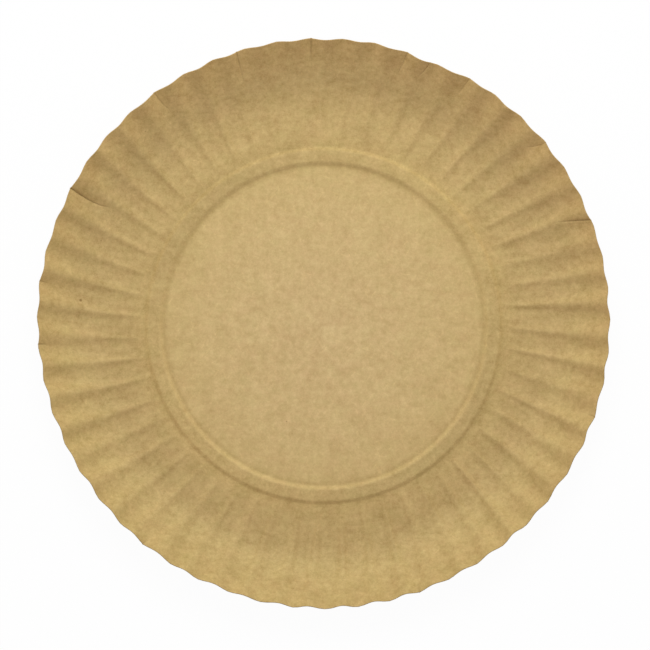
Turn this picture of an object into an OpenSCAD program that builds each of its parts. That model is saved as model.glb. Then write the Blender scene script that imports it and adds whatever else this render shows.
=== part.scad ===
// Round paper plate, pressed in one piece from a disc of kraft paperboard.
// A flat well lies inside a raised bead. Outside the bead the rim sweeps up to the edge, and the
// spare paper there is gathered into flutes: narrow ridges with broad valleys between them.
// Millimetres, +Z up. The plate rests on z = 0, and its axis is the Z axis.

/* [Well] */
// Diameter of the flat well, out to the foot of the bead
well_d = 128.5; // [90:0.5:180]
// Thickness of the paperboard
board_t = 0.45; // [0.3:0.05:0.8]

/* [Bead] */
// Width of the raised bead, from foot to foot
bead_w = 8; // [5:0.5:12]
// Height of the bead above the well
bead_h = 1.1; // [0.5:0.1:2]
// Width of the bead's sloping side towards the well
bead_side_w = 2.3; // [1:0.1:2.4]
// Width of the bead's sloping side towards the rim
bead_back_w = 1.9; // [1:0.1:2.4]

/* [Rim] */
// Width of the land between the bead and the foot of the rim
land_w = 14.75; // [6:0.25:25]
// Height of the land beside the bead above the well; from there it falls to the foot of the rim
land_h = 0.3; // [0:0.05:0.4]
// Width of the stretch where the rim curves upward
bend_w = 12.5; // [6:0.5:40]
// Width of the straight flare, out to the edge
flare_w = 15.5; // [5:0.5:30]
// Rise of the rim from the land to the edge, along the valleys of the flutes
rim_h = 14; // [8:0.5:25]

/* [Flutes] */
// Number of flutes round the rim
flute_n = 55; // [36:1:60]
// Height of the ridges above the valleys, at the edge
flute_h = 1.55; // [0.5:0.05:2.5]
// Plain land left between the bead and the inner ends of the flutes
flute_gap = 0.9; // [0.9:0.1:3.5]
// Sharpness of the ridges at their inner ends, where 1 is a plain wave
ridge_sharp_in = 7; // [1:0.1:9]
// Sharpness of the ridges at the edge
ridge_sharp_out = 0.9; // [0.8:0.1:3]
// Direction of the inner end of the first ridge, in degrees from +X
flute_start = 6.5; // [0:0.1:10]
// Degrees by which a flute leans clockwise on its way to the edge
flute_lean = 1.9; // [0:0.1:4]

/* [Hidden] */

well_r = well_d / 2;
bead_r = well_r + bead_w;
flute_r = bead_r + flute_gap;
bend_r = bead_r + land_w;
flare_r = bend_r + bend_w;
edge_r = flare_r + flare_w;

// The pressed well runs out to seam_out, and the fluted rim reaches in to seam_in, both on level land
seam_in = bead_r + flute_gap / 3;
seam_out = bead_r + flute_gap * 2 / 3;

// Steps in one sloping side of the bead
bead_steps = 8;

// Rows of points across the rim, from the seam to the edge
land_rows = 2;
bend_rows = 4;
row_r = concat(
    [seam_in],
    [for (i = [0 : land_rows - 1]) flute_r + (bend_r - flute_r) * i / land_rows],
    [for (i = [0 : bend_rows]) bend_r + bend_w * i / bend_rows],
    [edge_r]
);

// Points across one flute, in degrees of its wave: the ridge is at 0 and the valley at 180
wave = [0, 40, 95, 180, 265, 320];
cols = flute_n * len(wave);

kraft = [0.77, 0.66, 0.45];

$fn = cols;

// Slope of the straight flare, as rise over run
flare_slope = rim_h / (bend_w / 2 + flare_w);

// Height and slope of the rim's valleys at radius r: the falling land, then a curve, then straight
function valley_z(r) =
    r <= flute_r ? land_h :
    r <= bend_r ? land_h * (bend_r - r) / (bend_r - flute_r) :
    r <= flare_r ? flare_slope * pow(r - bend_r, 2) / (2 * bend_w) :
    flare_slope * (r - bend_r - bend_w / 2);
function valley_slope(r) = flare_slope * max(0, min(1, (r - bend_r) / bend_w));

// Share of the way along a flute, from its inner end to the edge
function along(r) = max(0, (r - flute_r) / (edge_r - flute_r));

// Height of the fluted sheet above its valleys, at radius r and at angle a of the wave
function ridge_height(r, a) =
    let (sharp = ridge_sharp_out + (ridge_sharp_in - ridge_sharp_out) * pow(1 - along(r), 2))
    flute_h * sqrt(along(r)) * pow((1 + cos(a)) / 2, sharp);

// Point of the rim in column col, at radius r of the valleys and at height t within the board
function rim_point(r, col, t) =
    let (
        a = wave[col % len(wave)],
        turn = (floor(col / len(wave)) + a / 360) * 360 / flute_n + flute_start - flute_lean * along(r),
        tilt = atan(valley_slope(r)),
        lift = ridge_height(r, a) + t,
        out = r - lift * sin(tilt)
    )
    [out * cos(turn), out * sin(turn), valley_z(r) + lift * cos(tilt)];

// Two triangles for the four-sided patch a, b, c, d
function patch(a, b, c, d) = [[a, b, c], [a, c, d]];

// Share of its height that a side of the bead has reached, at share x of its width
function ease(x) = (1 - cos(180 * x)) / 2;

// Points of the bead's underside at share x of a side's width: up from the well, and down to the land
function inner_side(x) = [well_r + bead_side_w * x, bead_h * ease(x)];
function outer_side(x) = [bead_r - bead_back_w * (1 - x), bead_h + (land_h - bead_h) * ease(x)];

// Underside of the pressed well and its bead, from the axis out to the seam
well_line = concat(
    [[0, 0]],
    [for (i = [0 : bead_steps]) inner_side(i / bead_steps)],
    [for (i = [0 : bead_steps]) outer_side(i / bead_steps)],
    [[seam_out, land_h]]
);

// Flat well and raised bead, turned from one section of even board
module pressed_well() {
    top_line = [for (p = well_line) p + [0, board_t]];
    last = len(top_line) - 1;
    rotate_extrude()
        polygon(concat(well_line, [for (i = [0 : last]) top_line[last - i]]));
}

// Fluted rim, as an even sheet with an underside, a top and a cut edge
module fluted_rim() {
    rows = len(row_r);
    sheet = rows * cols;
    under = [for (r = row_r) for (col = [0 : cols - 1]) rim_point(r, col, 0)];
    over = [for (r = row_r) for (col = [0 : cols - 1]) rim_point(r, col, board_t)];
    faces = [
        for (row = [0 : rows - 2]) for (col = [0 : cols - 1])
            let (
                a = row * cols + col,
                b = row * cols + (col + 1) % cols,
                c = b + cols,
                d = a + cols
            )
            each concat(patch(a, d, c, b), patch(a + sheet, b + sheet, c + sheet, d + sheet))
    ];
    inner = [
        for (col = [0 : cols - 1])
            let (next = (col + 1) % cols)
            each patch(next, next + sheet, col + sheet, col)
    ];
    cut_edge = [
        for (col = [0 : cols - 1])
            let (
                a = (rows - 1) * cols + col,
                b = (rows - 1) * cols + (col + 1) % cols
            )
            each patch(a, a + sheet, b + sheet, b)
    ];
    polyhedron(concat(under, over), concat(faces, inner, cut_edge));
}

module plate() {
    color(kraft)
        union() {
            pressed_well();
            fluted_rim();
        }
}

plate();
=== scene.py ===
import math
import random

import bpy
import numpy as np
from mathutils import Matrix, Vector, noise


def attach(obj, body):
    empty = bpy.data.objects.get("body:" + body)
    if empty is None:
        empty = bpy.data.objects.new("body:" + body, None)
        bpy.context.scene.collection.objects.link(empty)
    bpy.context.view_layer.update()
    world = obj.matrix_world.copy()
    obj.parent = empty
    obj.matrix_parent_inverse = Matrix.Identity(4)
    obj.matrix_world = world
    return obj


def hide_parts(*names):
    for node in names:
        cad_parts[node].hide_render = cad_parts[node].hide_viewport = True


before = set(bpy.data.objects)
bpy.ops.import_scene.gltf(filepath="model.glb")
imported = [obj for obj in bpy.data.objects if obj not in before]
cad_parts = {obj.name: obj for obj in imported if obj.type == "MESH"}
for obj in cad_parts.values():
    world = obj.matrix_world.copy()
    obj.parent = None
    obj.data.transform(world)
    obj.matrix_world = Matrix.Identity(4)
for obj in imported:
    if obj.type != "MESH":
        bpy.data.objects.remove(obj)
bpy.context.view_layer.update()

# The plate: one disc of brown kraft paperboard, pressed between hot dies into a flat well, a raised
# bead round it and an upswept rim. The spare paper of the rim is gathered into flutes, and where the
# press caught too much of it a valley has closed into a sharp pleat. Lengths here are in millimetres.
board_t = 0.45
well_r = 64.25
bead_w = 8.0
bead_h = 1.1
bead_side_w = 2.3
bead_back_w = 1.9
land_h = 0.3
land_w = 14.75
bend_w = 12.5
flare_w = 15.5
rim_h = 14.0
flute_n = 55
flute_h = 1.58
flute_gap = 0.9
ridge_sharp_in = 7.0
ridge_sharp_out = 0.9
flute_start = 6.5
flute_lean = 1.9

bead_r = well_r + bead_w
flute_r = bead_r + flute_gap
bend_r = bead_r + land_w
flare_r = bend_r + bend_w
edge_r = flare_r + flare_w
flare_slope = rim_h / (bend_w / 2 + flare_w)
flute_pitch = 360 / flute_n

# The paper springs back a little out of the dies, so both sides of the bead are wider than theirs
spring = 0.2
side_r = well_r - spring
side_w = bead_side_w + spring
foot_r = bead_r + spring / 2
back_w = bead_back_w + spring


def sheet_height(r):
    """Height of the underside above the table without its flutes: well, bead, land, bend and flare."""
    up = (1 - np.cos(math.pi * np.clip((r - side_r) / side_w, 0, 1))) / 2
    down = (1 + np.cos(math.pi * np.clip((foot_r - r) / back_w, 0, 1))) / 2
    land = np.clip((r - flute_r) / (bend_r - flute_r), 0, 1)
    bend = np.clip(r - bend_r, 0, bend_w)
    flare = np.clip(r - flare_r, 0, None)
    level = bead_h * up - (bead_h - land_h) * down - land_h * land
    return level + flare_slope * (bend ** 2 / (2 * bend_w) + flare)


# No two flutes come out of the press alike: each ridge has its own place, height, sharpness and start.
# The disc lay a little off the middle of the dies, so the flutes also drift to and fro round the rim,
# in one slow wave and in a weaker one of two crests.
press = random.Random(55)
place_spread = 0.22
height_spread = 0.13
sharp_spread = 0.14
start_spread = 0.55
drifts = [(0.79, 1, 197), (0.19, 2, 114)]


def slow_waves(turn, waves):
    """Sum of waves round the plate, each as its size, its number of crests and the direction of one."""
    return sum(size * np.cos(crests * np.radians(turn - crest)) for size, crests, crest in waves)


def pressed_ridge(i):
    """One ridge: place in degrees, shares of the full height and sharpness, and start in millimetres."""
    turn = flute_start + flute_pitch * i
    return (
        turn + slow_waves(turn, drifts) + press.gauss(0, place_spread),
        1 + press.gauss(0, height_spread),
        1 + press.gauss(0, sharp_spread),
        press.gauss(0, start_spread),
    )


ridge_place, ridge_tall, ridge_sharp, ridge_start = np.array([pressed_ridge(i) for i in range(flute_n)]).T

# On the far side the flutes are flatter, and their fullness comes back only near the edge. Stretches of
# the flare came out flatter or deeper, each as its direction, half width and share. All round, the
# flutes are a little shallower in the bend, where the paper was pulled tight.
flat_far = [(92, 36, 0.4)]
flat_fade = 4
uneven_flare = [(90, 50, -0.42), (63, 13, -0.25), (198, 18, 0.25), (337, 15, 0.28)]
uneven_r = 105.0
uneven_width = 8.0
tight_share = 0.17
tight_r = 95.9
tight_width = 5.0
flute_growth = 0.6
least_sharp = 0.8


def turn_off(turn, line):
    """Degrees from the direction line to turn, the short way round."""
    return (turn - line + 180) % 360 - 180


def hump(off, width):
    """A soft hump: 1 in its middle, and next to nothing at twice its half width."""
    return np.exp(-((off / width) ** 2))


def humps(turn, places):
    """Sum of humps round the plate, each as its direction and half width in degrees and its size."""
    return sum(size * hump(turn_off(turn, line), width) for line, width, size in places)


def ridge_height(r, turn):
    """Height of the flutes above their valleys, at radius r and at turn degrees of an unleaning plate."""
    turn = (turn - ridge_place[0]) % 360 + ridge_place[0]
    before = np.searchsorted(ridge_place, turn, side="right") - 1
    after = (before + 1) % flute_n
    gap = np.append(ridge_place[1:], ridge_place[0] + 360) - ridge_place
    share = (turn - ridge_place[before]) / gap[before]
    nearest = np.where(share < 0.5, before, after)
    way = np.clip((r - flute_r - ridge_start[nearest].clip(0, None)) / (edge_r - flute_r), 0, 1)
    height = ridge_tall[nearest] - humps(turn, flat_far) * (1 - way ** flat_fade)
    height += humps(turn, uneven_flare) * hump(r - uneven_r, uneven_width)
    height -= tight_share * hump(r - tight_r, tight_width)
    sharp = ridge_sharp_out + (ridge_sharp_in - ridge_sharp_out) * (1 - way) ** 2
    sharp = (sharp * ridge_sharp[nearest]).clip(least_sharp, None)
    return flute_h * height * way ** flute_growth * ((1 + np.cos(2 * math.pi * share)) / 2) ** sharp


# Pleats, each as its direction at the edge in degrees, length, depth, the degrees it turns off by and
# its hook: a pleat of hook 1 runs straight, and one of hook 4 only turns off near its inner end
pleats = [
    (21.1, 13, 0.42, 2.1, 1),
    (39.2, 7, 0.35, 1.8, 2),
    (59.2, 8, 0.3, 0.2, 2),
    (67.8, 8, 0.3, 1.2, 2),
    (72.8, 10, 0.4, 0.2, 2),
    (92.5, 11, 0.55, -0.3, 2),
    (107.8, 14, 0.5, -0.3, 2),
    (126.3, 9, 0.45, -1.0, 2),
    (151.9, 16.5, 0.8, -1.45, 4),
    (171.6, 3, 0.3, 0, 1),
    (184.3, 3, 0.45, 0, 1),
    (230.8, 2, 0.4, 0, 1),
    (289.6, 2.5, 0.4, 0, 1),
    (340.8, 3, 0.4, 0, 1),
]
pleat_reach = 3.0
pleat_flank = 1.5
pleat_slit = 0.3
flank_share = 0.4
shut_depth = 0.7
bend_lengths = 3


def pleat_folds(r, column):
    """Degrees by which pleats bend the columns, depth of their grooves, and how shut their slits are."""
    bend, groove, slit = np.zeros((3, *r.shape))
    for line, length, depth, bent, hook in pleats:
        off = turn_off(column, line + flute_lean)
        inward = (edge_r - r) / length
        fade = np.clip(1 - inward ** 2, 0, 1)
        turned = bent * np.clip(inward, 0, 1) ** hook * np.clip(bend_lengths - inward, 0, 1)
        bend += turned * hump(off, pleat_reach)
        aside = np.abs(np.radians(off) * edge_r)
        shut = hump(aside, pleat_slit) * fade
        groove += depth * (flank_share * np.exp(-aside / pleat_flank) * fade + (1 - flank_share) * shut)
        slit += shut * min(1, depth / shut_depth)
    return bend, groove, slit


# Small dents that the dies leave in the loose paper of the rim
dent_size = 6.0
dent_depth = 0.14
dent_mean = 0.7
dent_layer = 3.7


def dents(x, y, way):
    """Lift of the dented sheet, which grows on the way along the flutes."""
    spots = [Vector((a / dent_size, b / dent_size, dent_layer)) for a, b in zip(x.flat, y.flat)]
    field = np.array([noise.noise(spot) for spot in spots]).reshape(x.shape)
    return dent_depth * np.sqrt(way) * (dent_mean + field)


def columns():
    """Directions of the mesh's columns in degrees: close together at the ridges and beside each pleat."""
    shares = [0, 0.035, 0.08, 0.14, 0.22, 0.33, 0.5, 0.67, 0.78, 0.86, 0.92, 0.965]
    beside = [-1.4, -0.7, -0.3, -0.13, 0, 0.13, 0.3, 0.7, 1.4]
    spare = 0.4
    per_mm = math.degrees(1 / edge_r)
    lines = [pleat[0] + flute_lean for pleat in pleats]
    folds = [line + aside * per_mm for line in lines for aside in beside]
    places = [*ridge_place, ridge_place[0] + 360]
    plain = [a + (b - a) * s for a, b in zip(places, places[1:]) for s in shares]
    clear = per_mm * (max(beside) + spare)
    kept = [turn % 360 for turn in plain if all(abs(turn_off(turn, line)) > clear for line in lines)]
    return np.array(sorted(kept + folds))


def rows():
    """Radii of the mesh's rows, from near the axis to the edge."""
    well = [12, 26, 40, 52, 60, 63.5]
    steps = 7
    up = [side_r + side_w * i / steps for i in range(steps + 1)]
    down = [foot_r - back_w * (1 - i / steps) for i in range(steps + 1)]
    lip = 0.3
    top = [up[-1] + lip, (up[-1] + down[0]) / 2, down[0] - lip]
    land = [bead_r + flute_gap * i / 3 for i in (1, 2)]
    rim_rows = 30
    rim = [flute_r + (edge_r - flute_r) * i / rim_rows for i in range(rim_rows + 1)]
    return np.array(well + up + top + down + land + rim)


# The cut disc is a little out of round, with places where its edge was knocked in or bulges, and its
# rim rises and falls
swell_mean = -0.6
swells = [(0.36, 1, 90), (0.24, 2, 160), (0.20, 3, 21.8), (0.11, 5, 31.7), (0.11, 6, 32.7)]
knocks = [(67.5, 13, 0.96), (68, 7.5, -1.6), (154.5, 7, -0.26), (175, 3.5, 0.24), (249, 3.5, -0.34)]
sway_mean = -0.9
sways = [(0.2, 2, -22.92), (0.15, 3, 9.55), (0.1, 7, 0)]


def plate_surface(thick):
    """Points of the sheet at height thick within the board, and how shut the slits are there."""
    r, column = np.meshgrid(rows(), columns(), indexing="ij")
    way = np.clip((r - flute_r) / (edge_r - flute_r), 0, 1)
    bend, groove, slit = pleat_folds(r, column)
    turn = column + bend
    facing = turn - flute_lean * way
    angle = np.radians(facing)
    lift = ridge_height(r, turn) - groove + dents(r * np.cos(angle), r * np.sin(angle), way) + thick
    tilt = np.arctan(flare_slope * np.clip((r - bend_r) / bend_w, 0, 1))
    rise = np.clip((r - bend_r) / (edge_r - bend_r), 0, 1) ** 2
    swell = swell_mean + slow_waves(facing, swells) + humps(facing, knocks)
    sway = sway_mean + slow_waves(facing, sways)
    out = r - lift * np.sin(tilt) + swell * rise
    up = sheet_height(r) + lift * np.cos(tilt) + sway * rise
    return np.stack([out * np.cos(angle), out * np.sin(angle), up], axis=-1), slit


# The mesh: an underside, a top and a cut edge, each side closed by a fan in the middle
MM = 0.001
under, under_slit = plate_surface(0)
over, over_slit = plate_surface(board_t)
row_n, col_n = under.shape[:2]
sheet_n = row_n * col_n
middles = [[0, 0, 0], [0, 0, board_t]]
points = np.concatenate([under.reshape(-1, 3), over.reshape(-1, 3), middles]) * MM

row, col = np.meshgrid(np.arange(row_n - 1), np.arange(col_n), indexing="ij")
here = (row * col_n + col).ravel()
following = (row * col_n + (col + 1) % col_n).ravel()
over_faces = np.stack([here, here + col_n, following + col_n, following], axis=-1) + sheet_n
under_faces = np.stack([here, following, following + col_n, here + col_n], axis=-1)
ring = np.arange(col_n)
ring_next = (ring + 1) % col_n
last = sheet_n - col_n
edge, edge_next = last + ring, last + ring_next
cut_faces = np.stack([edge, edge_next, edge_next + sheet_n, edge + sheet_n], axis=-1)
under_middle = [(2 * sheet_n, j, i) for i, j in zip(ring, ring_next)]
over_middle = [(2 * sheet_n + 1, i + sheet_n, j + sheet_n) for i, j in zip(ring, ring_next)]
faces = [tuple(f) for f in np.concatenate([over_faces, under_faces, cut_faces]).tolist()]

plate_mesh = bpy.data.meshes.new("plate_sheet")
plate_mesh.from_pydata(points.tolist(), [], faces + under_middle + over_middle)
plate_mesh.polygons.foreach_set("use_smooth", [True] * len(plate_mesh.polygons))
edge_ends = np.empty(len(plate_mesh.edges) * 2, dtype=np.int32)
plate_mesh.edges.foreach_get("vertices", edge_ends)
edge_ends = edge_ends.reshape(-1, 2)
rim_under = (edge_ends >= last) & (edge_ends < sheet_n)
rim_over = (edge_ends >= last + sheet_n) & (edge_ends < 2 * sheet_n)
plate_mesh.edges.foreach_set("use_edge_sharp", rim_under.all(axis=1) | rim_over.all(axis=1))
slit_shut = plate_mesh.attributes.new("pleat_slit", "FLOAT", "POINT")
slit_shut.data.foreach_set("value", np.concatenate([under_slit.ravel(), over_slit.ravel(), [0, 0]]))
plate_mesh.update()
plate = bpy.data.objects.new("pressed_plate", plate_mesh)
bpy.context.scene.collection.objects.link(plate)


class Wire:
    """A socket in a material's nodes. Arithmetic on wires adds Math nodes, and add() any other node."""

    def __init__(self, tree, socket=None):
        self.tree = tree
        self.socket = socket

    def add(self, kind, settings, inputs, output=0):
        node = self.tree.nodes.new(kind)
        for name, value in settings.items():
            if name == "stops":
                self.set_stops(node.color_ramp.elements, value)
            else:
                setattr(node, name, value)
        for name, value in inputs.items():
            if isinstance(value, Wire):
                self.tree.links.new(value.socket, node.inputs[name])
            else:
                node.inputs[name].default_value = value
        return Wire(self.tree, node.outputs[output] if node.outputs else None)

    @staticmethod
    def set_stops(elements, stops):
        while len(elements) < len(stops):
            elements.new(1.0)
        for element, (place, colour) in zip(elements, stops):
            element.position = place
            element.color = (*colour, 1)

    def math(self, operation, first, second):
        return self.add("ShaderNodeMath", {"operation": operation}, {0: first, 1: second})

    def __add__(self, other):
        return self.math("ADD", self, other)

    def __radd__(self, other):
        return self.math("ADD", other, self)

    def __sub__(self, other):
        return self.math("SUBTRACT", self, other)

    def __rsub__(self, other):
        return self.math("SUBTRACT", other, self)

    def __mul__(self, other):
        return self.math("MULTIPLY", self, other)

    def __rmul__(self, other):
        return self.math("MULTIPLY", other, self)

    def __truediv__(self, other):
        return self.math("DIVIDE", self, other)

    def __rtruediv__(self, other):
        return self.math("DIVIDE", other, self)

    def __pow__(self, other):
        return self.math("POWER", self, other)

    def __rpow__(self, other):
        return self.math("POWER", other, self)

    def step(self, low, high):
        """0 below low, 1 above high, and a smooth rise between."""
        sockets = {"Value": self, "From Min": low, "From Max": high, "To Min": 0.0, "To Max": 1.0}
        return self.add("ShaderNodeMapRange", {"interpolation_type": "SMOOTHSTEP"}, sockets)

    def vector(self, operation, *values):
        """Vector Math on colours and places."""
        return self.add("ShaderNodeVectorMath", {"operation": operation}, dict(enumerate(values)))

    def mix(self, factor, first, second):
        """The first colour where factor is 0, and the second where it is 1."""
        return self.add("ShaderNodeMix", {"data_type": "RGBA"}, {0: factor, 6: first, 7: second}, 2)


# Kraft colours by share of the plate's radius. The bead and the rim are toasted by the hot dies, and the
# flat
# well is paler. Painted light is mixed in: painted shade in the creases at both feet of the bead, and the
# sides of the bead and the outer flare painted lighter against the shade that their tilt gets.
tones_and_painted_light = [
    (0.000, (0.575, 0.407, 0.186)),
    (0.400, (0.567, 0.404, 0.174)),
    (0.543, (0.549, 0.390, 0.160)),
    (0.558, (0.472, 0.329, 0.126)),
    (0.569, (0.552, 0.393, 0.158)),
    (0.580, (0.489, 0.342, 0.133)),
    (0.611, (0.489, 0.342, 0.132)),
    (0.620, (0.501, 0.352, 0.135)),
    (0.630, (0.474, 0.330, 0.124)),
    (0.643, (0.488, 0.338, 0.129)),
    (0.680, (0.489, 0.340, 0.132)),
    (0.770, (0.475, 0.329, 0.128)),
    (0.870, (0.509, 0.359, 0.142)),
    (1.000, (0.489, 0.330, 0.122)),
]

kraft = bpy.data.materials.new("kraft_board")
kraft.use_nodes = True
kraft.node_tree.nodes.clear()
board = Wire(kraft.node_tree)
place = board.add("ShaderNodeTexCoord", {}, {}, "Object")
x = board.add("ShaderNodeSeparateXYZ", {}, {"Vector": place}, "X")
y = board.add("ShaderNodeSeparateXYZ", {}, {"Vector": place}, "Y")
square = x * x + y * y
share = square ** 0.5 / (edge_r * MM)
# Tone by radius, with painted shade in the bead's creases and painted light on its sides and the flare
tone_and_painted_light = board.add("ShaderNodeValToRGB", {"stops": tones_and_painted_light}, {"Fac": share}, "Color")


def grain(size, detail, roughness, stretch=(1, 1, 1)):
    """A field of noise about 0, whose largest lumps are size millimetres."""
    pulled = board.vector("MULTIPLY", place, stretch)
    sockets = {"Vector": pulled, "Scale": 1 / (size * MM), "Detail": detail, "Roughness": roughness}
    return board.add("ShaderNodeTexNoise", {}, sockets, "Fac") - 0.5


# Clouds of fibre in the pulp, fine grain, and faint streaks along and across the paper machine, all
# stronger where the dies toasted the sheet. Pale fibres are greyer than the pulp between them, and
# some patches of pulp are greener than others.
cloud_share = 0.42
grit_share = 0.92
along_share = 0.21
across_share = 0.08
toast_gain = 0.36
fibre_tint = (0.63, 0.73, 1.0)
tinge_tint = (-0.065, 0.085, -0.03)
cloud = grain(10.0, 2, 0.8)
grit = grain(2.6, 3, 1.0)
along_machine = grain(2.0, 2, 0.6, (0.16, 1, 1))
across_machine = grain(2.0, 2, 0.6, (1, 0.16, 1))
tinge = grain(12.0, 3, 0.9, (1, 1.3, 1))
depth = 1 + toast_gain * share.step(0.55, 0.60)
streaks = along_machine * along_share + across_machine * across_share
mottle = (cloud * cloud_share + grit * grit_share + streaks) * depth
shade = board.vector("MULTIPLY_ADD", mottle, fibre_tint, (1, 1, 1))
shade = board.vector("MULTIPLY_ADD", tinge, tinge_tint, shade)

# Single pale fibres that lie on the sheet in all directions, in layers that each have a turn in radians
# and an offset in the noise
hair_layers = [(0.3, 5.1), (1.2, 8.3), (2.2, 2.7)]
hair_w = 0.8
hair_stretch = (0.2, 1, 1)
hair_gain = 0.055


def hair_field(turn, offset):
    """A field of noise about 0, drawn out into hairs that lie at turn radians."""
    sockets = {"Vector": place, "Angle": turn}
    turned = board.add("ShaderNodeVectorRotate", {"rotation_type": "Z_AXIS"}, sockets)
    moved = board.vector("MULTIPLY_ADD", turned, hair_stretch, (offset, 0, 0))
    sockets = {"Vector": moved, "Scale": 1 / (hair_w * MM), "Detail": 0.0}
    return board.add("ShaderNodeTexNoise", {}, sockets, "Fac") - 0.5


hair = sum(hair_field(turn, offset).step(0.24, 0.30) for turn, offset in hair_layers) * hair_gain

# A few dark specks of bark, and a larger one on the left of the rim
fleck_gap = 16.0
fleck_dark = 0.5
speck_x, speck_y = -97.5, 9.85
speck_dark = 0.75
bark = (0.20, 0.115, 0.025, 1)
fleck_sockets = {"Vector": place, "Scale": 1 / (fleck_gap * MM)}
fleck_off = board.add("ShaderNodeTexVoronoi", {}, fleck_sockets, "Distance")
fleck = fleck_dark * (1 - fleck_off.step(0.010, 0.028))
speck_right, speck_up = x - speck_x * MM, y - speck_y * MM
speck_off = (speck_right * speck_right + speck_up * speck_up) ** 0.5 / MM
speck = speck_dark * (1 - speck_off.step(0.2, 0.85))

# Painted light on the rim and the bead: the rim is painted darker and redder on the far side, which turns
# from the light, and lighter and greener on the near side, and the bead is painted lighter along one
# diagonal and darker along the other.
far_x, far_y = 0.31, 0.95
rim_light_tint = (-0.015, -0.05, -0.02)
bead_painted_light_gain = 0.118
# Painted shade on the far side of the rim and painted light on its near side
rim_painted_light = (x * far_x + y * far_y) / (edge_r * MM) * share.step(0.62, 1.0)
rim_light_factor = board.vector("MULTIPLY_ADD", rim_painted_light, rim_light_tint, (1, 1, 1))
on_bead = share.step(0.54, 0.60) * (1 - share.step(0.61, 0.68))
# Painted light and painted shade on the bead along its two diagonals
bead_painted_light = x * y / square * on_bead

# Painted shade in each pleat's slit, as little light comes out of it
slit_painted_shade = 0.26
slit = board.add("ShaderNodeAttribute", {"attribute_name": "pleat_slit"}, {}, "Fac")

# Lightness of the pale hairs, times the painted shade of the slits and the painted light of the bead
light = (1 + hair) * (1 - slit * slit_painted_shade) * (1 + bead_painted_light * bead_painted_light_gain)
base = board.vector("MULTIPLY", tone_and_painted_light, shade)
base = board.add("ShaderNodeVectorMath", {"operation": "SCALE"}, {0: base, "Scale": light})
base = board.vector("MULTIPLY", base, rim_light_factor)
base = board.mix(fleck + speck, base, bark)

# The bare fibres make the sheet matt and faintly rough to the touch
rough_mean = 0.70
rough_spread = 0.2
fibre_share = 0.5
relief_h = 0.06
fibre = grain(0.7, 3, 0.7)
relief = fibre * fibre_share + cloud
rough = rough_mean + cloud * rough_spread
bump = board.add("ShaderNodeBump", {}, {"Height": relief, "Strength": 1.0, "Distance": relief_h * MM})
surface = board.add(
    "ShaderNodeBsdfPrincipled",
    {},
    {"Base Color": base, "Roughness": rough, "Normal": bump, "Specular IOR Level": 0.3},
)
board.add("ShaderNodeOutputMaterial", {}, {"Surface": surface})
plate_mesh.materials.append(kraft)

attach(plate, "root")
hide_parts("plate")

# The table: a broad white sheet that runs out of view. Seen directly it is nearly pure white, and it
# still takes a soft trace of the plate's shadow. Lengths from here on are in metres.
table_w = 6.0
table_drop = 0.0003
white_share = 0.965
bpy.ops.mesh.primitive_plane_add(size=table_w, location=(0, 0, -table_drop))
floor = bpy.context.object
floor.name = "white_table"
white = bpy.data.materials.new("white_table")
white.use_nodes = True
white.node_tree.nodes.clear()
table = Wire(white.node_tree)


def shown(nodes):
    """1 on the rays that show the background: from the camera, mirrored, or through something clear."""
    rays = ("Is Camera Ray", "Is Glossy Ray", "Is Transmission Ray")
    return nodes.math("MINIMUM", sum(nodes.add("ShaderNodeLightPath", {}, {}, ray) for ray in rays), 1.0)


paper = table.add("ShaderNodeBsdfDiffuse", {}, {"Color": (0.9, 0.9, 0.9, 1)})
pure_white = table.add("ShaderNodeEmission", {}, {"Color": (1, 1, 1, 1), "Strength": 1.0})
table_top = table.add("ShaderNodeMixShader", {}, {0: shown(table) * white_share, 1: paper, 2: pure_white})
table.add("ShaderNodeOutputMaterial", {}, {"Surface": table_top})
floor.data.materials.append(white)

# The studio: a white room that is brighter beyond the plate's far side, which draws the flutes and the
# bead, and a softbox on that side.
softbox_spot = Vector((-0.01, 0.43, 0.54))
softbox_lamp = bpy.data.lights.new("far_softbox", "AREA")
softbox_lamp.color = (0.95, 1.05, 1.0)
softbox_lamp.shape = "DISK"
softbox_lamp.size = 0.4
softbox_lamp.energy = 2.65
softbox = bpy.data.objects.new("far_softbox", softbox_lamp)
softbox.location = softbox_spot
softbox.rotation_euler = (-softbox_spot).to_track_quat("-Z", "Y").to_euler()
bpy.context.scene.collection.objects.link(softbox)

room_light = 0.565
far_gain = 0.42
wall_tint = (1.04, 0.96, 1.0, 1)
room = bpy.data.worlds.new("white_room")
bpy.context.scene.world = room
room.use_nodes = True
room.node_tree.nodes.clear()
air = Wire(room.node_tree)
towards = air.add("ShaderNodeTexCoord", {}, {}, "Generated")
far = air.add("ShaderNodeSeparateXYZ", {}, {"Vector": towards}, "Y")
lit = room_light * (1 + far * far_gain)
background = shown(air)
walls = air.mix(background, wall_tint, (1, 1, 1, 1))
glow = air.add("ShaderNodeBackground", {}, {"Color": walls, "Strength": lit + background * (1 - lit)})
air.add("ShaderNodeOutputWorld", {}, {"Surface": glow})

# The camera: almost straight above, leaning a few degrees towards the near side, with the far side up
# in the picture. The plate's outline is placed by its centre and its radius in the picture's pixels.
picture_w = 650
outline_x, outline_y, outline_px = 323.18, 322.39, 285.17
mean_edge_r = 0.1138
eye_distance = 2.0
lean = math.radians(4.0)
pixel = mean_edge_r / outline_px
middle = (picture_w - 1) / 2
aim = Vector(((middle - outline_x) * pixel, (outline_y - middle) * pixel, rim_h * MM))
eye = aim + eye_distance * Vector((0, -math.sin(lean), math.cos(lean)))
camera_data = bpy.data.cameras.new("overhead_camera")
camera_data.sensor_width = 36
camera_data.lens = camera_data.sensor_width * eye_distance / (picture_w * pixel)
camera = bpy.data.objects.new("overhead_camera", camera_data)
camera.location = eye
camera.rotation_euler = (lean, 0, 0)
bpy.context.scene.collection.objects.link(camera)
bpy.context.scene.camera = camera
bpy.context.scene.view_settings.view_transform = "Standard"
